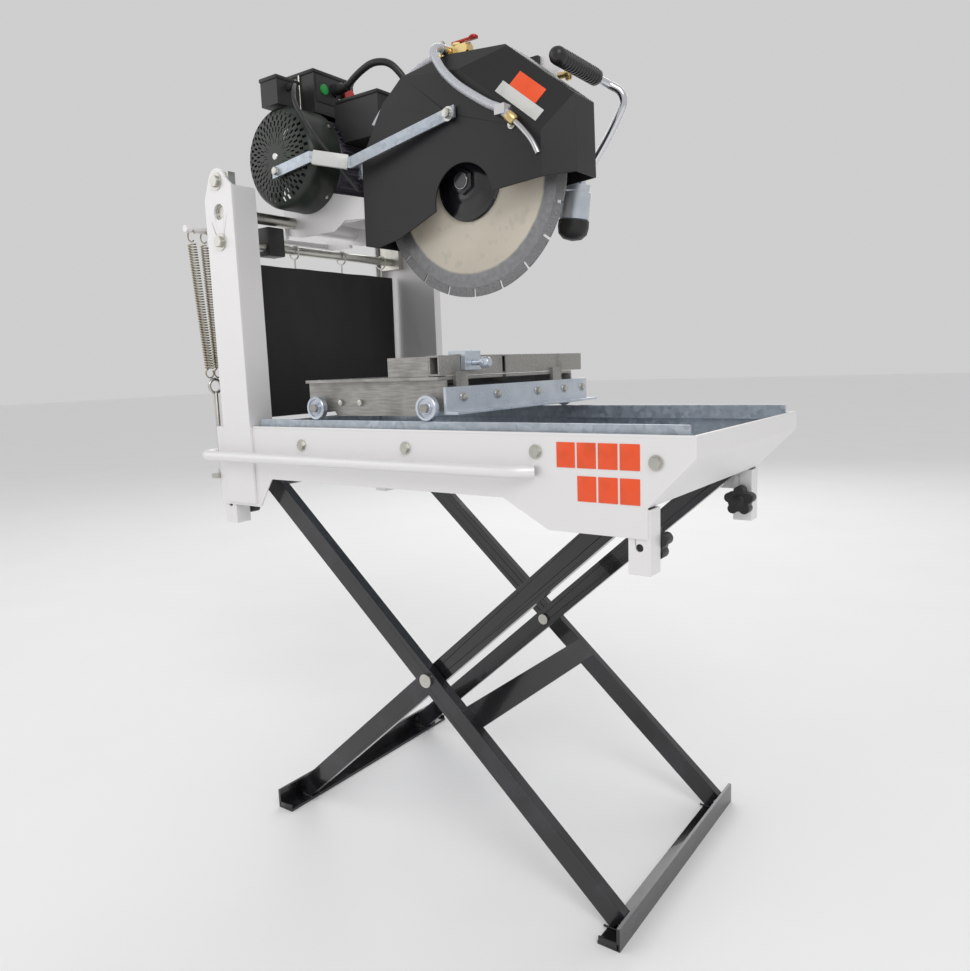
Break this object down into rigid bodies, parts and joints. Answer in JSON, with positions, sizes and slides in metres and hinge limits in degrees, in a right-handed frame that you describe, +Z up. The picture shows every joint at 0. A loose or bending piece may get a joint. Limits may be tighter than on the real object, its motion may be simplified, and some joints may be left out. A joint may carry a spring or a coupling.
{
  "type": "masonry saw",
  "caption": "Sled-type masonry saw: guarded diamond blade on a pivoting motor arm over a water pan with a rolling cart and a crossed folding stand.",
  "frame": {"origin": "floor level under the centre of the overall box", "axes": "+X towards the operator's end (pan lip), -Y the near side with the blade guard's open face, +Z up"},
  "size_m": [0.93, 0.493, 1.3222],
  "materials": {
    "white_paint": "semi-gloss white powder coat with a slight warm grey cast",
    "galvanised_steel": "bluish spangled zinc coating",
    "bright_zinc": "bright zinc-plated fasteners",
    "bright_steel": "turned steel",
    "spring_steel": "yellow-passivated spring wire",
    "blade_disc": "cream core with a bare grey segmented rim",
    "black_paint": "satin black powder coat",
    "fan_cover_green": "greenish black pressed sheet",
    "motor_grey": "purple-grey enamel on a finned casting",
    "black_plastic": "moulded black plastic",
    "black_rubber": "matt black rubber",
    "silver_hose": "smooth silver-grey hose",
    "cart_zinc": "dull zinc-plated plate with rub marks",
    "stand_black": "glossy black stove enamel, rubbed at the edges",
    "chrome_tube": "bright plated tube",
    "cast_brass": "cast and turned brass",
    "red_lever": "red dipped lever",
    "green_button": "green push button",
    "red_button": "red push button",
    "roller_steel": "turned steel roller"
  },
  "bodies": {
    "frame": {"water_pan": "galvanised_steel", "side_panel_near": "white_paint", "side_panel_far": "white_paint", "end_panels": "white_paint", "cart_rails": "galvanised_steel", "underframe": "white_paint", "post_near": "white_paint", "post_far": "white_paint", "pivot_blocks": "bright_zinc", "frame_bolts": "bright_zinc", "tie_rod": "bright_zinc", "curtain_hooks": "bright_zinc", "splash_curtain": "black_rubber", "carry_bar": "white_paint", "spring_anchor": "bright_zinc", "lift_springs": "spring_steel", "rear_stand_legs": "stand_black", "rear_stand_bars": "stand_black", "cross_pins": "bright_zinc", "pivot_shaft": "bright_zinc"},
    "front_stand": {"front_stand_legs": "stand_black", "front_stand_bars": "stand_black"},
    "head": {"head_arm": "white_paint", "tail_bar": "white_paint", "motor_body": "motor_grey", "fan_cover": "fan_cover_green", "switch_box": "black_plastic", "head_cables": "black_rubber", "blade_guard": "black_paint", "guard_brace": "galvanised_steel", "water_valve": "cast_brass", "water_hoses": "silver_hose", "spray_tube": "bright_steel", "handle_tube": "chrome_tube", "hand_grip": "black_rubber", "belt_cover": "black_paint", "spindle_bearings": "bright_steel", "drive_belts": "black_rubber"},
    "start_button": {"start_button": "green_button"},
    "stop_button": {"stop_button": "red_button"},
    "valve_lever": {"valve_lever": "red_lever"},
    "spindle": {"diamond_blade": "blade_disc", "blade_flanges": "bright_zinc", "blade_shaft": "bright_steel", "blade_pulley": "bright_steel"},
    "rotor": {"motor_rotor": "motor_grey"},
    "cart": {"cart_frame": "cart_zinc", "cart_table": "cart_zinc", "fence_bar": "cart_zinc", "front_beam": "cart_zinc"},
    "roller_1": {"cart_roller_1": "roller_steel"},
    "roller_2": {"cart_roller_2": "roller_steel"},
    "roller_3": {"cart_roller_3": "roller_steel"},
    "roller_4": {"cart_roller_4": "roller_steel"},
    "guide": {"guide_block": "cart_zinc"},
    "guide_screw": {"guide_screw": "bright_zinc"},
    "knob_1": {"star_knob_1": "black_plastic"},
    "knob_2": {"star_knob_2": "black_plastic"},
    "knob_3": {"star_knob_3": "black_plastic"},
    "knob_4": {"star_knob_4": "black_plastic"}
  },
  "joints": [
    {"name": "stand_fold", "type": "hinge", "parent": "frame", "child": "front_stand", "pos_m": [0.019, 0, 0.305], "axis": [0, -1, 0], "range_deg": [0, 50]},
    {"name": "head_tilt", "type": "hinge", "parent": "frame", "child": "head", "pos_m": [-0.368, 0, 1.063], "axis": [0, 1, 0], "range_deg": [0, 20], "stiffness_Nm_per_rad": 60, "springref_deg": -80.21, "deforming": ["lift_springs"]},
    {"name": "blade_spin", "type": "hinge", "parent": "head", "child": "spindle", "pos_m": [0.014, -0.023, 1.081], "axis": [0, 1, 0], "continuous": true},
    {"name": "rotor_spin", "type": "hinge", "parent": "head", "child": "rotor", "pos_m": [-0.32, 0.02, 1.16], "axis": [0, 1, 0], "continuous": true},
    {"name": "start_press", "type": "slide", "parent": "head", "child": "start_button", "axis": [-1, 0, 0], "range_m": [0, 0.003], "stiffness_N_per_m": 800},
    {"name": "stop_press", "type": "slide", "parent": "head", "child": "stop_button", "axis": [-1, 0, 0], "range_m": [0, 0.003], "stiffness_N_per_m": 800},
    {"name": "valve_turn", "type": "hinge", "parent": "head", "child": "valve_lever", "pos_m": [-0.002, -0.022, 1.296], "axis": [0, 0, 1], "range_deg": [0, 90]},
    {"name": "cart_slide", "type": "slide", "parent": "frame", "child": "cart", "axis": [1, 0, 0], "range_m": [-0.1, 0.38]},
    {"name": "roller_1_spin", "type": "hinge", "parent": "cart", "child": "roller_1", "pos_m": [-0.181, -0.201, 0.7323], "axis": [0, 1, 0], "continuous": true},
    {"name": "roller_2_spin", "type": "hinge", "parent": "cart", "child": "roller_2", "pos_m": [-0.181, 0.201, 0.7323], "axis": [0, 1, 0], "continuous": true},
    {"name": "roller_3_spin", "type": "hinge", "parent": "cart", "child": "roller_3", "pos_m": [0.051, -0.201, 0.7323], "axis": [0, 1, 0], "continuous": true},
    {"name": "roller_4_spin", "type": "hinge", "parent": "cart", "child": "roller_4", "pos_m": [0.051, 0.201, 0.7323], "axis": [0, 1, 0], "continuous": true},
    {"name": "guide_slide", "type": "slide", "parent": "cart", "child": "guide", "axis": [0, 1, 0], "range_m": [-0.01, 0.06]},
    {"name": "guide_screw_turn", "type": "hinge", "parent": "guide", "child": "guide_screw", "pos_m": [0.09, -0.12, 0.796], "axis": [1, 0, 0], "range_deg": [-360, 0]},
    {"name": "knob_1_turn", "type": "hinge", "parent": "frame", "child": "knob_1", "pos_m": [0.391, -0.185, 0.56], "axis": [0, 1, 0], "continuous": true},
    {"name": "knob_2_turn", "type": "hinge", "parent": "frame", "child": "knob_2", "pos_m": [0.391, 0.185, 0.56], "axis": [0, 1, 0], "continuous": true},
    {"name": "knob_3_turn", "type": "hinge", "parent": "frame", "child": "knob_3", "pos_m": [-0.411, -0.185, 0.56], "axis": [0, 1, 0], "continuous": true},
    {"name": "knob_4_turn", "type": "hinge", "parent": "frame", "child": "knob_4", "pos_m": [-0.411, 0.185, 0.56], "axis": [0, 1, 0], "continuous": true}
  ],
  "couplings": [
    {"joint": "rotor_spin", "follows": "blade_spin", "ratio": 1.3352},
    {"joint": "roller_1_spin", "follows": "cart_slide", "rad_per_m": 52.632},
    {"joint": "roller_2_spin", "follows": "cart_slide", "rad_per_m": 52.632},
    {"joint": "roller_3_spin", "follows": "cart_slide", "rad_per_m": 52.632},
    {"joint": "roller_4_spin", "follows": "cart_slide", "rad_per_m": 52.632}
  ]
}
